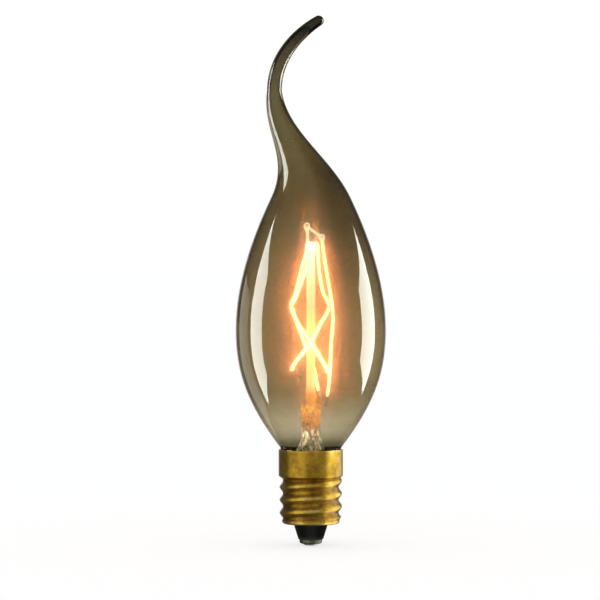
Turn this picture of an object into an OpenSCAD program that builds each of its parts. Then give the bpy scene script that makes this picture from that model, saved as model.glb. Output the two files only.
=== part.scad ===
// Flame-shaped filament lamp with a drawn, curling glass tail and a small screw cap.
// The origin is the middle of the centre contact's lowest face, and +Z runs up the cap's axis.
// The tail bends in the XZ plane, and its tip points towards +X.

/* [Glass bulb] */
// Largest outer radius of the glass
bulb_r = 16.6; // [15:0.1:18]
// Wall of the blown glass
glass_wall = 0.7; // [0.5:0.05:1]
// Height of the widest ring above the cap
belly_rise = 26.2; // [24:0.1:30]
// Height of the shoulder ring above the widest ring
shoulder_rise = 29.1; // [27:0.1:34]
// Outer radius at the shoulder ring, where the tail begins
shoulder_r = 8.8; // [7.5:0.1:10]
// Width gained on each side for each step up, just above the cap
neck_slope = 0.78; // [0.65:0.01:0.9]
// Width lost on each side for each step up, at the shoulder ring
shoulder_slope = 0.48; // [0.42:0.01:0.54]

/* [Drawn tail] */
// Height from the shoulder ring to the tail's outermost bend
tail_rise = 23.5; // [21:0.1:27]
// Sideways lean of the tail at its outermost bend
tail_lean = 8; // [5:0.1:10]
// Outer radius of the tail at its outermost bend
tail_r = 1.65; // [1.4:0.05:2.2]
// Wall of the drawn glass
tail_wall = 0.5; // [0.4:0.05:0.7]
// Height from the outermost bend to the middle of the tip's bead
hook_rise = 15.4; // [13:0.1:18]
// Sideways reach back from the outermost bend to the bead
hook_reach = 9.7; // [7:0.1:12]
// Radius of the bead that seals the tip
tip_r = 1.15; // [1:0.05:1.4]
// Length of the solid glass behind the bead
tip_plug = 2.4; // [1.5:0.1:4]

/* [Screw cap] */
// Radius over the thread's crests
thread_r = 6.9; // [6.7:0.05:7.1]
// Depth of the rolled thread
thread_depth = 0.75; // [0.6:0.05:0.85]
// Rise of the thread in one turn
thread_pitch = 2.82; // [2.5:0.02:3.2]
// Height of the threaded stretch
thread_h = 9.6; // [8.5:0.1:11]
// Sheet thickness of the shell
shell_wall = 0.3; // [0.25:0.01:0.35]
// Outer radius of the plain collar
collar_r = 7.1; // [7:0.05:7.5]
// Height of the plain collar
collar_h = 5.9; // [5:0.1:8]
// Height of the rolled rim under the thread
rim_h = 0.95; // [0.8:0.05:1.2]
// Radius of the hole in the shell's turned-in foot
foot_hole_r = 3.8; // [3.3:0.05:4.2]
// Height of the insulator below the shell
insulator_h = 3.5; // [2.8:0.1:4.5]
// Height of the insulator inside the shell
insulator_plug_h = 2; // [1.5:0.1:3]
// Radius of the contact plate
contact_r = 2.5; // [2.2:0.05:2.8]
// Thickness of the contact plate
contact_h = 0.9; // [0.7:0.05:1.2]
// Radius of the flat on the solder drop, which touches the holder
solder_flat_r = 1.2; // [0.9:0.05:1.5]
// Height of the solder drop below the contact plate
solder_h = 0.35; // [0.25:0.05:0.5]
// Gap between the glass neck and the collar, which the cement fills
cement_gap = 0.3; // [0.25:0.01:0.5]
// Height of the cement ring
cement_h = 3.6; // [2.5:0.1:4]

/* [Glass stem] */
// Height of the press's top above the cap
press_rise = 10.2; // [9.4:0.1:12]
// Width of the flattened press
press_w = 4.4; // [4:0.1:5.2]
// Thickness of the flattened press
press_t = 2.5; // [2.2:0.1:3]
// Height of the flattened press
press_h = 2.2; // [1.8:0.1:2.8]
// Height over which the round stem tube flattens into the press
taper_h = 3; // [2.5:0.1:4]
// Outer radius of the stem tube below the press
stem_r = 2.05; // [1.95:0.05:2.3]
// Wall of the stem tube
stem_wall = 0.4; // [0.3:0.05:0.45]
// Depth of the neck's lower end inside the collar
neck_depth = 4.6; // [4.2:0.1:4.8]
// Outer radius of the exhaust tube
exhaust_r = 0.95; // [0.8:0.05:1]
// Wall of the exhaust tube
exhaust_wall = 0.35; // [0.25:0.05:0.45]
// Length of the exhaust tube
exhaust_len = 12.5; // [9:0.5:14]

/* [Filament and its wires] */
// Outer radius of the coiled filament
filament_r = 0.34; // [0.28:0.01:0.38]
// Radius of the glass rod
rod_r = 0.95; // [0.85:0.05:1.05]
// Length of the glass rod above the press
rod_len = 35.4; // [33:0.1:37]
// Radius of the button at the rod's top
button_r = 1.25; // [1.15:0.05:1.4]
// Radius of the support wires
support_r = 0.14; // [0.11:0.01:0.16]
// Room between the filament and an eye
eye_gap = 0.09; // [0.06:0.01:0.12]
// Depth of a support wire inside the rod
socket_depth = 0.6; // [0.4:0.05:0.75]
// Radius of the inner leads and of the seal wires
lead_r = 0.22; // [0.18:0.01:0.26]
// Radius of the outer leads
outer_lead_r = 0.12; // [0.09:0.01:0.14]
// Distance of the seal wires from the axis
lead_x = 1.3; // [1.25:0.05:1.5]
// Length of a crimped clamp
clamp_len = 1.6; // [1.2:0.1:2]
// Wall of a crimped clamp
clamp_wall = 0.14; // [0.1:0.01:0.18]

/* [Hidden] */

// Heights, from the lowest face up
plate_z = solder_h;
insulator_z = plate_z + contact_h;
cap_z = insulator_z + insulator_h;
thread_z = cap_z + rim_h;
collar_z = thread_z + thread_h;
cap_top_z = collar_z + collar_h;
neck_end_z = cap_top_z - neck_depth;
belly_z = cap_top_z + belly_rise;
shoulder_z = belly_z + shoulder_rise;
bend_z = shoulder_z + tail_rise;
tip_z = bend_z + hook_rise;
press_z = cap_top_z + press_rise;
press_foot_z = press_z - press_h;
flare_top_z = press_foot_z - taper_h;
ceiling_z = press_foot_z - 0.6 * taper_h;
rod_top_z = press_z + rod_len;

// Places along the tail
tip_x = hook_reach - tail_lean;
hook_angle = 32;

// How far each end of a curve pulls it along its own direction, from the neck up to the tip
neck_pull = 10;
belly_pull = 9;
crown_pull = 10;
shoulder_pull = 9;
lean_pull = 9;
bend_pull = 7;
tip_pull = 6;

// Radii that fit one another
thread_root_r = thread_r - thread_depth;
rim_r = thread_root_r + 0.22;
neck_r = collar_r - shell_wall - cement_gap;
insulator_hole_r = 0.55;
eyelet_wall = 0.15;
stem_bore_r = stem_r - stem_wall;
flare_r = neck_r - glass_wall;
rim_round = 0.6;
collar_round = 0.24;
shoulder_h = 0.85;
lead_in_h = 0.9;
shell_solder_r = 0.36;
blow_hole_r = 0.4;
seam_step = 0.05;

// Steps used on the curved surfaces
thread_sides = 32;
steps_per_turn = 12;
tail_sides = 32;
tail_steps = 12;
curve_steps = 14;
wire_sides = 6;
eye_steps = 10;

// Curves

function unit(v) = v / norm(v);

// Point at t on the cubic curve that four control points draw
function bezier(p, t) =
    pow(1 - t, 3) * p[0] + 3 * t * pow(1 - t, 2) * p[1] + 3 * t * t * (1 - t) * p[2] + pow(t, 3) * p[3];

function bezier_points(p, steps, first = 0) = [for (i = [first : steps]) bezier(p, i / steps)];

// Direction in which a route runs through its point i, weighted by the lengths beside it
function route_slope(p, i) =
    i == 0 ? unit(p[1] - p[0]) :
    i == len(p) - 1 ? unit(p[i] - p[i - 1]) :
    (p[i + 1] - p[i - 1]) / (norm(p[i + 1] - p[i]) + norm(p[i] - p[i - 1]));

// Smooth route through every point of p, with steps no longer than span
function smooth_route(p, span) = concat(
    [for (i = [0 : len(p) - 2])
        let (d = norm(p[i + 1] - p[i]), a = d * route_slope(p, i), b = d * route_slope(p, i + 1),
             steps = max(2, ceil(d / span)))
        for (k = [0 : steps - 1])
            let (t = k / steps)
            bezier([p[i], p[i] + a / 3, p[i + 1] - b / 3, p[i + 1]], t)],
    [p[len(p) - 1]]);

// Direction of a route at each of its points. Where the route has to start square to what it meets,
// the direction of its start is given.
function directions(p, start) =
    [for (i = [0 : len(p) - 1])
        i == 0 && start != undef ? start : unit(p[min(i + 1, len(p) - 1)] - p[max(i - 1, 0)])];

// Side directions carried along the directions t without twist
function squared(v, t) = unit(v - (v * t) * t);
function sides_along(t, i = 0, done = []) =
    i == len(t) ? done :
    sides_along(t, i + 1, concat(done,
        [squared(i > 0 ? done[i - 1] : abs(t[0].y) < 0.9 ? [0, 1, 0] : [0, 0, 1], t[i])]));

// Rings of a tube with radius r[i] round each point p[i], square to the direction t[i]
function tube_rings(p, r, t, sides) =
    let (n = sides_along(t))
    [for (i = [0 : len(p) - 1]) for (k = [0 : sides - 1])
        let (a = 360 * k / sides)
        p[i] + r[i] * (cos(a) * n[i] + sin(a) * cross(t[i], n[i]))];

// Triangles between two rings that start at points a and b
function band(a, b, sides) =
    [for (k = [0 : sides - 1]) let (m = (k + 1) % sides)
        each [[a + k, b + m, a + m], [a + k, b + k, b + m]]];

// Solid tube along a route
module tube(p, r, sides = wire_sides, start = undef) {
    rings = len(p);
    radii = is_list(r) ? r : [for (i = [0 : rings - 1]) r];
    last = (rings - 1) * sides;
    polyhedron(
        points = tube_rings(p, radii, directions(p, start), sides),
        faces = concat(
            [for (i = [0 : rings - 2]) each band(i * sides, (i + 1) * sides, sides)],
            [[for (k = [0 : sides - 1]) k]],
            [[for (k = [sides - 1 : -1 : 0]) last + k]]));
}

// Closed wall between an outer and an inner surface that share a flat ring at their foot. The
// directions t serve both.
module walled_tube(outer, outer_r, inner, inner_r, t, sides) {
    n_out = len(outer);
    n_in = len(inner);
    first_in = n_out * sides;
    last_out = (n_out - 1) * sides;
    last_in = first_in + (n_in - 1) * sides;
    polyhedron(
        points = concat(tube_rings(outer, outer_r, t, sides), tube_rings(inner, inner_r, t, sides)),
        faces = concat(
            [for (i = [0 : n_out - 2]) each band(i * sides, (i + 1) * sides, sides)],
            [for (i = [0 : n_in - 2])
                each band(first_in + (i + 1) * sides, first_in + i * sides, sides)],
            band(first_in, 0, sides),
            [[for (k = [sides - 1 : -1 : 0]) last_out + k]],
            [[for (k = [0 : sides - 1]) last_in + k]]));
}

// Glass bulb

// Profile of the blown body as [radius, height], from the neck's lower end to the shoulder.
// Each half is one cubic curve, upright at the widest ring.
neck_curve = [[neck_r, cap_top_z], [neck_r + neck_pull * neck_slope, cap_top_z + neck_pull],
    [bulb_r, belly_z - belly_pull], [bulb_r, belly_z]];
shoulder_curve = [[bulb_r, belly_z], [bulb_r, belly_z + crown_pull],
    [shoulder_r + shoulder_pull * shoulder_slope, shoulder_z - shoulder_pull], [shoulder_r, shoulder_z]];
body_outline = concat(
    [[neck_r, neck_end_z + glass_wall]],
    bezier_points(neck_curve, curve_steps),
    bezier_points(shoulder_curve, curve_steps, 1));

// The tail's middle line and outer radius as [x, 0, height, radius], in two cubic curves
lean_curve = [[0, 0, shoulder_z, shoulder_r],
    [0, 0, shoulder_z + shoulder_pull, shoulder_r - shoulder_pull * shoulder_slope],
    [-tail_lean, 0, bend_z - lean_pull, tail_r * 1.75], [-tail_lean, 0, bend_z, tail_r]];
hook_curve = [[-tail_lean, 0, bend_z, tail_r], [-tail_lean, 0, bend_z + bend_pull, tail_r * 0.97],
    [tip_x - tip_pull * cos(hook_angle), 0, tip_z - tip_pull * sin(hook_angle), tail_r * 0.88],
    [tip_x, 0, tip_z, tip_r]];
tail_line = concat(bezier_points(lean_curve, tail_steps), bezier_points(hook_curve, tail_steps, 1));

function place(q) = [q[0], q[1], q[2]];

module glass_envelope() color([0.62, 0.55, 0.38, 0.45]) {
    rotate_extrude($fn = 96) polygon(concat(
        body_outline,
        [for (i = [len(body_outline) - 1 : -1 : 0]) body_outline[i] - [glass_wall, 0]]));
    drawn_tail();
}

// Hollow tail with a round sealed bead at its tip
module drawn_tail() {
    steps = len(tail_line);
    tip = [tip_x, 0, tip_z];
    ahead = [cos(hook_angle), 0, sin(hook_angle)];
    hollow = [for (q = tail_line) if (norm(place(q) - tip) > tip_plug) q];
    hollow_n = len(hollow);
    function wall(i) = tail_wall + (glass_wall - tail_wall) * max(0, 1 - i / tail_steps);
    bead_line = [for (a = [25 : 25 : 75]) tip + tip_r * sin(a) * ahead];
    bead_r = [for (a = [25 : 25 : 75]) tip_r * cos(a)];
    middle = concat([for (q = tail_line) place(q)], bead_line);
    // The rings stay level as far as the outermost bend, and follow the hook from there
    ways = [for (i = [0 : len(middle) - 1])
        i <= tail_steps ? [0, 0, 1] : i >= steps - 1 ? ahead : unit(middle[i + 1] - middle[i - 1])];
    // The first ring stands on the body's top edge, seam_step inside both of its sides
    walled_tube(
        middle, concat([shoulder_r - seam_step], [for (i = [1 : steps - 1]) tail_line[i][3]], bead_r),
        [for (q = hollow) place(q)],
        concat([shoulder_r - glass_wall + 2 * seam_step],
            [for (i = [1 : hollow_n - 1]) hollow[i][3] - wall(i)]),
        ways, tail_sides);
}

// Points on an arc about c, from angle a to angle b
function arc(c, r, a, b, steps = 6) =
    [for (i = [0 : steps]) let (t = a + (b - a) * i / steps) c + r * [cos(t), sin(t)]];

// Screw cap

// The rolled thread is a round bar whose middle circles the axis once in every pitch
thread_foot_z = thread_z - 0.4;
thread_len = collar_z + 0.5 - thread_foot_z;
// Turns the thread so that a crest meets the -X side at the height that the lamp shows
thread_phase = 180 - 360 * (10 - thread_foot_z) / thread_pitch;

module rolled_thread(r) {
    translate([0, 0, thread_foot_z])
        rotate(thread_phase)
            linear_extrude(height = thread_len, twist = -360 * thread_len / thread_pitch,
                slices = ceil(thread_len / thread_pitch * steps_per_turn), $fn = thread_sides)
                translate([thread_depth / 2, 0]) circle(r = r - thread_depth / 2);
}

// Rounded top edge of the collar, as points of its profile
collar_edge = arc([collar_r - collar_round, cap_top_z - collar_round], collar_round, 0, 90);

// Round bar that lets the thread start from nothing at the rim
module lead_in(inset) {
    rotate_extrude($fn = 64) polygon([
        [0, thread_foot_z - 0.2], [rim_r - inset, thread_foot_z - 0.2],
        [rim_r - inset, thread_z - 0.2], [thread_r + 0.15 - inset, thread_z + lead_in_h],
        [thread_r + 0.15 - inset, collar_z + 1], [0, collar_z + 1]]);
}

// Solid of the whole cap, drawn in by inset on every side but its open top
module cap_form(inset, top_z) {
    intersection() {
        rolled_thread(thread_r - inset);
        lead_in(inset);
    }
    rotate_extrude($fn = 64) polygon(concat(
        [[0, cap_z + inset]],
        arc([rim_r - rim_round, cap_z + rim_round], rim_round - inset, -90, 0),
        [[rim_r - inset, thread_z - 0.1], [thread_root_r - 0.05 - inset, thread_z + 0.45],
            [0, thread_z + 0.45]]));
    rotate_extrude($fn = 64) polygon(concat(
        [[0, collar_z - shoulder_h], [thread_root_r + 0.06 - inset, collar_z - shoulder_h],
            [collar_r - inset, collar_z + inset / 2]],
        inset > 0 ? [[collar_r - inset, top_z]] : collar_edge,
        [[0, top_z]]));
}

module screw_shell() color([0.68, 0.52, 0.22])
    difference() {
        cap_form(0, cap_top_z);
        cap_form(shell_wall, cap_top_z + 1);
        translate([0, 0, cap_z - 1]) cylinder(r = foot_hole_r, h = 2, $fn = 64);
    }

module shell_insulator() color([0.05, 0.05, 0.05]) {
    plug_r = rim_r - rim_round;
    floor_z = cap_z + shell_wall;
    top_z = floor_z + insulator_plug_h;
    rotate_extrude($fn = 64) polygon([
        [insulator_hole_r, insulator_z], [contact_r + 0.12, insulator_z],
        [contact_r + 0.3, insulator_z + 0.2], [foot_hole_r, cap_z - 0.1],
        [foot_hole_r, floor_z], [plug_r, floor_z], [plug_r, top_z - 0.3], [plug_r - 0.3, top_z],
        [insulator_hole_r + 1.6, floor_z + 1.1], [insulator_hole_r, floor_z + 0.8]]);
}

module centre_contact() color([0.6, 0.48, 0.25])
    rotate_extrude($fn = 64) polygon(concat(
        [[insulator_hole_r - eyelet_wall, plate_z]],
        arc([contact_r - 0.5, plate_z + 0.5], 0.5, -90, 0),
        [[contact_r, insulator_z], [insulator_hole_r, insulator_z],
            [insulator_hole_r, insulator_z + 1.4],
            [insulator_hole_r - eyelet_wall, insulator_z + 1.4]]));

module contact_solder() color([0.62, 0.62, 0.6])
    difference() {
        rotate_extrude($fn = 48) polygon([
            [0, 0], [solder_flat_r, 0], [solder_flat_r + 0.35, 0.12], [solder_flat_r + 0.5, plate_z],
            [insulator_hole_r - eyelet_wall, plate_z],
            [insulator_hole_r - eyelet_wall, insulator_z], [0, insulator_z]]);
        translate([0, 0, plate_z]) cylinder(r = outer_lead_r, h = contact_h + 1, $fn = 24);
    }

// Where the thin lead climbs between the neck and the collar, at the back of the cap
lead_gap_y = neck_r + cement_gap / 2;
shell_lead_route = [
    [-lead_x, 0, ceiling_z], [-lead_x, 0, neck_end_z + 3.4], [-1.2, 0.8, neck_end_z + 0.6],
    [-0.6, 3, neck_end_z - 0.9], [0, lead_gap_y - 0.9, neck_end_z - 0.9],
    [0, lead_gap_y - 0.05, neck_end_z - 0.5], [0, lead_gap_y, neck_end_z + 0.2], [0, lead_gap_y, cap_top_z],
    [0, lead_gap_y + 0.16, cap_top_z + 0.22], [0, collar_r + 0.05, cap_top_z + 0.22]];
contact_lead_route = [
    [lead_x, 0, ceiling_z], [lead_x, 0, neck_end_z + 1], [lead_x * 0.7, 0, thread_z + 6],
    [0, 0, cap_z + 2.4], [0, 0, cap_z], [0, 0, plate_z]];

module outer_lead(route) color([0.7, 0.5, 0.35])
    tube(smooth_route(route, 1.8), outer_lead_r, start = [0, 0, -1]);

module shell_solder() color([0.62, 0.62, 0.6])
    difference() {
        translate([0, collar_r + 0.02, cap_top_z + 0.05]) sphere(r = shell_solder_r, $fn = 32);
        rotate_extrude($fn = 64) polygon(concat(
            [[0, collar_z], [collar_r, collar_z]], collar_edge, [[0, cap_top_z]]));
        outer_lead(shell_lead_route);
    }

module capping_cement() color([0.82, 0.78, 0.7])
    difference() {
        translate([0, 0, cap_top_z - 0.6 - cement_h])
            rotate_extrude($fn = 64) translate([neck_r, 0]) square([cement_gap, cement_h]);
        translate([-outer_lead_r, neck_r - 1, neck_end_z])
            cube([2 * outer_lead_r, cement_gap + 2, cap_top_z - neck_end_z]);
    }

// Glass stem

// Trumpet, tube and solid head in one revolve; the head is then pinched flat at the front and back
module stem_flare() color([0.75, 0.75, 0.68, 0.5]) {
    rim_z = neck_end_z + glass_wall;
    upper = [[stem_r, flare_top_z], [stem_r, flare_top_z - 3.8],
        [flare_r - 1.7, rim_z + 0.3], [flare_r, rim_z]];
    lower = [[flare_r - 0.1, neck_end_z], [flare_r - 1.9, neck_end_z + 0.3],
        [stem_bore_r, flare_top_z - 4], [stem_bore_r, flare_top_z]];
    head_r = press_w / 2;
    difference() {
        rotate_extrude($fn = 64) polygon(concat(
            [[0, press_z], [head_r - 0.35, press_z], [head_r, press_z - 0.4], [head_r, press_foot_z]],
            bezier_points(upper, 10),
            [[neck_r, rim_z], [neck_r, neck_end_z + 0.2], [neck_r - 0.2, neck_end_z]],
            bezier_points(lower, 10),
            [[stem_bore_r, ceiling_z], [0, ceiling_z]]));
        for (side = [0, 180])
            rotate([90, 0, 90 + side])
                translate([0, 0, -head_r - 1])
                    linear_extrude(height = press_w + 2) pinch();
        for (side = [-1, 1])
            translate([side * lead_x, 0, ceiling_z - 1])
                cylinder(r = lead_r, h = press_z - ceiling_z + 2, $fn = 24);
        blow_hole();
    }
}

// Glass taken off one side of the head, as [distance from the axis, height]
module pinch() {
    half = press_t / 2;
    polygon([[half, press_z + 1], [half, press_foot_z], [stem_r + 0.3, flare_top_z],
        [stem_r + 2, flare_top_z], [stem_r + 2, press_z + 1]]);
}

// Passage through which the bulb was pumped empty, from the exhaust tube out to the front
module blow_hole() {
    bend_z = ceiling_z + 2 * blow_hole_r;
    translate([0, 0, ceiling_z - 1]) cylinder(r = blow_hole_r, h = bend_z - ceiling_z + 1, $fn = 24);
    translate([0, 0, bend_z]) rotate([90, 0, 0]) cylinder(r = blow_hole_r * 0.9, h = stem_r + 1, $fn = 24);
}

module exhaust_tube() color([0.78, 0.78, 0.72, 0.5]) {
    bore_r = exhaust_r - exhaust_wall;
    foot_z = ceiling_z - exhaust_len;
    rotate_extrude($fn = 48) polygon(concat(
        [[bore_r, ceiling_z], [bore_r, foot_z + 1.6], [0, foot_z + 1]],
        [[0, foot_z], [0.25, foot_z + 0.05], [exhaust_r * 0.75, foot_z + 0.7], [exhaust_r, foot_z + 1.6],
            [exhaust_r, ceiling_z]]));
}

// Filament cage

// The middles of the eyes, through which the filament turns
function from_press(x, y, h) = [x, y, press_z + h];
function from_rod_top(x, y, h) = [x, y, rod_top_z + h];
eye_left = from_rod_top(-0.85, 0, 3.4);
eye_right = from_rod_top(2.4, 0, 0.9);
eye_top = from_rod_top(0.85, button_r + 0.5, 0);
eye_mid_1 = from_press(4.8, -2.2, 19.8);
eye_mid_2 = from_press(4.1, 1.8, 21.2);
eye_mid_3 = from_press(-4.4, -2.1, 21.2);
eye_mid_4 = from_press(-4.1, 2.5, 20.9);
eye_centre = from_press(0, rod_r + 0.95, 12.9);
eye_low_left = from_press(-4.1, 0, 7.4);
eye_low_right = from_press(3.7, 0, 6.9);

// A support is [foot on the rod, way out of the rod, middle of its eye, way through its eye].
// One on the rod's side leaves it level, straight towards its eye, with its foot at height rise.
function side_support(eye, rise, through, r = rod_r) =
    let (out = unit([eye.x, eye.y, 0]))
    [[r * out.x, r * out.y, eye.z + rise], out, eye, through];

support_upper_left = [[-0.45, 0, rod_top_z], [0, 0, 1], eye_left, [0, 1, 0]];
support_upper_right = [[0.45, 0, rod_top_z], [0, 0, 1], eye_right, [0, 1, 0]];
support_top_hook = side_support(eye_top, -1.2, [1, 0, 0], button_r);
support_mid_1 = side_support(eye_mid_1, 1.4, [0, 0, 1]);
support_mid_2 = side_support(eye_mid_2, -0.9, [0, 0, 1]);
support_mid_3 = side_support(eye_mid_3, 0.7, [0, 0, 1]);
support_mid_4 = side_support(eye_mid_4, -1, [0, 0, 1]);
support_centre = side_support(eye_centre, 0.9, [1, 0, 0]);
support_low_left = side_support(eye_low_left, -1.9, [0, 1, 0]);
support_low_right = side_support(eye_low_right, -1.9, [0, 1, 0]);
SUPPORTS = [support_upper_left, support_upper_right, support_top_hook, support_mid_1, support_mid_2,
    support_mid_3, support_mid_4, support_centre, support_low_left, support_low_right];

// Stands its children at a point, with their Z along way
module along(point, way) {
    translate(point) rotate([0, acos(way.z), atan2(way.y, way.x)]) children();
}

module arbor_rod() color([0.85, 0.8, 0.6, 0.6])
    difference() {
        rotate_extrude($fn = 48) polygon(concat(
            [[0, press_z], [lead_x - lead_r - 0.03, press_z], [rod_r, press_z + 1.2],
                [rod_r, rod_top_z - 2.8], [button_r, rod_top_z - 1.7]],
            arc([button_r - 0.8, rod_top_z - 0.8], 0.8, 0, 90),
            [[0, rod_top_z]]));
        for (s = SUPPORTS)
            along(s[0] - socket_depth * s[1], s[1])
                cylinder(r = support_r, h = socket_depth + 1, $fn = 24);
    }

// Wire that leaves the rod, runs to its eye and curls round the filament in an open turn
module support(s) color([0.55, 0.5, 0.45]) {
    out = s[1];
    eye = s[2];
    through = s[3];
    curl_r = filament_r + eye_gap + support_r;
    curl_turn = 290;
    curl_rise = 2.6 * support_r;
    elbow = s[0] + 0.45 * out;
    inward = unit(squared(elbow - eye, through));
    across = cross(through, inward);
    tube(concat([s[0] - socket_depth * out, elbow],
        [for (i = [0 : eye_steps]) let (a = curl_turn * i / eye_steps)
            eye + curl_r * (cos(a) * across - sin(a) * inward)
                + curl_rise * (i / eye_steps - 0.5) * through]), support_r);
}

// The filament's two ends sit in crimped clamps, whose axes point along its first and last stretch
clamp_front = from_press(3.5, -1.2, 0.8);
clamp_back = from_press(1.9, 1.2, 1.8);
after_front = from_press(4.1, -1.8, 6.1);
before_back = from_press(0.7, 2.2, 7.6);
way_front = unit(after_front - clamp_front);
way_back = unit(before_back - clamp_back);

front_y = -(rod_r + filament_r + 0.25);
clear_of_clamp = clamp_len / 2 + 0.6;
filament_route = [
    clamp_front, clamp_front + clear_of_clamp * way_front, after_front, from_press(4.4, -2.2, 12.6),
    eye_mid_1, from_press(3.4, -1.6, 29.1),
    eye_right + [0.1, -1, -1.1], eye_right + [0, -0.4, -0.1], eye_right + [-0.05, 0.4, 0.05],
    eye_right + [-0.6, 1, 0.5], eye_left + [0.6, 1, -0.6],
    eye_left + [0.05, 0.4, -0.05], eye_left + [0, -0.4, -0.1], eye_left + [0.1, -1, -1.1],
    from_press(-0.75, -1.75, 34.2), from_press(-1.95, -1.9, 29.7), from_press(-3.5, -2.1, 23.6),
    eye_mid_3, from_press(-2.6, -1.9, 17.2), [0, front_y, press_z + 13.2], from_press(1.85, -0.9, 10.1),
    eye_low_right + [-0.2, -1, 0.9], eye_low_right + [0, -0.4, 0.1], eye_low_right + [0, 0.4, 0.1],
    eye_low_right + [-0.3, 1, 0.9],
    eye_centre + [1, 0, -0.9], eye_centre + [0.45, 0, -0.12], eye_centre + [-0.45, 0, -0.12],
    eye_centre + [-1, 0, -0.9],
    eye_low_left + [0.3, 1, 0.9], eye_low_left + [0, 0.4, 0.1], eye_low_left + [0, -0.4, 0.1],
    eye_low_left + [0.2, -1, 0.9],
    [0, front_y - 2 * filament_r - 0.2, press_z + 13.3], from_press(2.05, -0.3, 17.2),
    eye_mid_2, from_press(2.8, 1.8, 23.9), from_press(1.85, 1.7, 29.1),
    eye_top + [0.66, 0, -0.7], eye_top + [0.45, 0, -0.16], eye_top + [-0.45, 0, -0.16],
    eye_top + [-0.66, 0, -0.7],
    from_press(-1.4, 1.8, 28.4), from_press(-3.3, 2.3, 23.2), eye_mid_4,
    from_press(-1.1, 2.9, 12.3), before_back, clamp_back + clear_of_clamp * way_back, clamp_back];

module filament() color([1, 0.85, 0.45]) tube(smooth_route(filament_route, 1.5), filament_r);

module lead_clamp(middle, way) color([0.6, 0.58, 0.55])
    along(middle, way)
        difference() {
            intersection() {
                cylinder(r = filament_r + clamp_wall, h = clamp_len, center = true, $fn = 32);
                cube([2 * filament_r + 2 * clamp_wall, 2 * filament_r + clamp_wall, clamp_len], center = true);
            }
            cylinder(r = filament_r, h = clamp_len, $fn = 32);
            translate([0, 0, -clamp_len]) cylinder(r = lead_r, h = clamp_len + 1, $fn = 24);
        }

// The inner leads climb from the press and turn up into the clamps
below_clamp = clamp_len / 2 + 0.4;
front_lead_route = [
    [lead_x, 0, press_z], from_press(lead_x + 0.05, -0.1, 0.4), from_press(2.3, -0.65, 0.1),
    clamp_front - below_clamp * way_front, clamp_front - (clamp_len / 2) * way_front, clamp_front];
back_lead_route = [
    [-lead_x, 0, press_z], from_press(-lead_x, 0.25, 0.5), from_press(-0.9, 1.25, 0.7),
    from_press(0.5, 1.75, 0.5), clamp_back - below_clamp * way_back,
    clamp_back - (clamp_len / 2) * way_back, clamp_back];

module inner_lead(route) color([0.6, 0.58, 0.52])
    tube(smooth_route(route, 0.7), lead_r, start = [0, 0, 1]);

module seal_wire(side) color([0.7, 0.35, 0.2])
    translate([side * lead_x, 0, ceiling_z]) cylinder(r = lead_r, h = press_z - ceiling_z, $fn = 24);

glass_envelope();
screw_shell();
shell_insulator();
centre_contact();
contact_solder();
shell_solder();
capping_cement();
stem_flare();
exhaust_tube();
arbor_rod();
support(support_upper_left);  // upper_support_left
support(support_upper_right);  // upper_support_right
support(support_top_hook);  // top_hook
support(support_mid_1);  // middle_support_1
support(support_mid_2);  // middle_support_2
support(support_mid_3);  // middle_support_3
support(support_mid_4);  // middle_support_4
support(support_centre);  // centre_hook
support(support_low_left);  // lower_support_left
support(support_low_right);  // lower_support_right
filament();
lead_clamp(clamp_front, way_front);  // lead_clamp_front
lead_clamp(clamp_back, way_back);  // lead_clamp_back
inner_lead(front_lead_route);  // inner_lead_front
inner_lead(back_lead_route);  // inner_lead_back
seal_wire(-1);  // seal_wire_left
seal_wire(1);  // seal_wire_right
outer_lead(contact_lead_route);  // outer_lead_contact
outer_lead(shell_lead_route);  // outer_lead_shell
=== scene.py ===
"""Flame-shaped filament bulb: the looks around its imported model.

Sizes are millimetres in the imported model's frame. The origin is the middle of the centre
contact's lowest face, +Z runs up the cap, and the camera looks along +Y.
"""

import bpy
import numpy as np
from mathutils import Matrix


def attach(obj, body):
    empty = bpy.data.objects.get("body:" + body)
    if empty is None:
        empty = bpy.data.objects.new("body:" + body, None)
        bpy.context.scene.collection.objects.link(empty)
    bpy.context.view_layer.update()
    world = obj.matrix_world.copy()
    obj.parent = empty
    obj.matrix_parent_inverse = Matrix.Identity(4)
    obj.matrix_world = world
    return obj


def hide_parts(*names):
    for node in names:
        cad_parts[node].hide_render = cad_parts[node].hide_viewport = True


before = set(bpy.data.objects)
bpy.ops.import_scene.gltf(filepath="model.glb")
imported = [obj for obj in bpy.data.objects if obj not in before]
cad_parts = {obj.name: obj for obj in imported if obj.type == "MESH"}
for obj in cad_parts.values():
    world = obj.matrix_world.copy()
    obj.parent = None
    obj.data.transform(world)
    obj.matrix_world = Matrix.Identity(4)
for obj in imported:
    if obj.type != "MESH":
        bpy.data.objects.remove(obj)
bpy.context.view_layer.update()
MM = 0.001

# Glass bulb, with slopes of radius against height
BULB_R = 16.58
GLASS_WALL = 0.7
NECK_R = 6.5
NECK_SLOPE = 0.78
SHOULDER_R = 8.8
SHOULDER_SLOPE = 0.48
NECK_END_Z = 16.6
CAP_TOP_Z = 21.2
BELLY_Z = 47.4
SHOULDER_Z = 76.5

# Drawn tail, from its outermost bend to the sealed tip
TAIL_LEAN = 8.0
TAIL_R = 1.65
TAIL_WALL = 0.5
BEND_Z = 100.0
TIP_X = 1.7
TIP_Z = 115.39
TIP_R = 1.15
TIP_PLUG = 2.4
BORE_END = 3.0
HOOK_ANGLE = np.radians(32)
BEAD_ANGLES = (12, 77)

# Radii that the tail's curves are pulled towards below the bend, above it and before the tip
BELOW_BEND_R = 1.75 * TAIL_R
ABOVE_BEND_R = 0.97 * TAIL_R
BEFORE_TIP_R = 0.88 * TAIL_R

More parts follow.
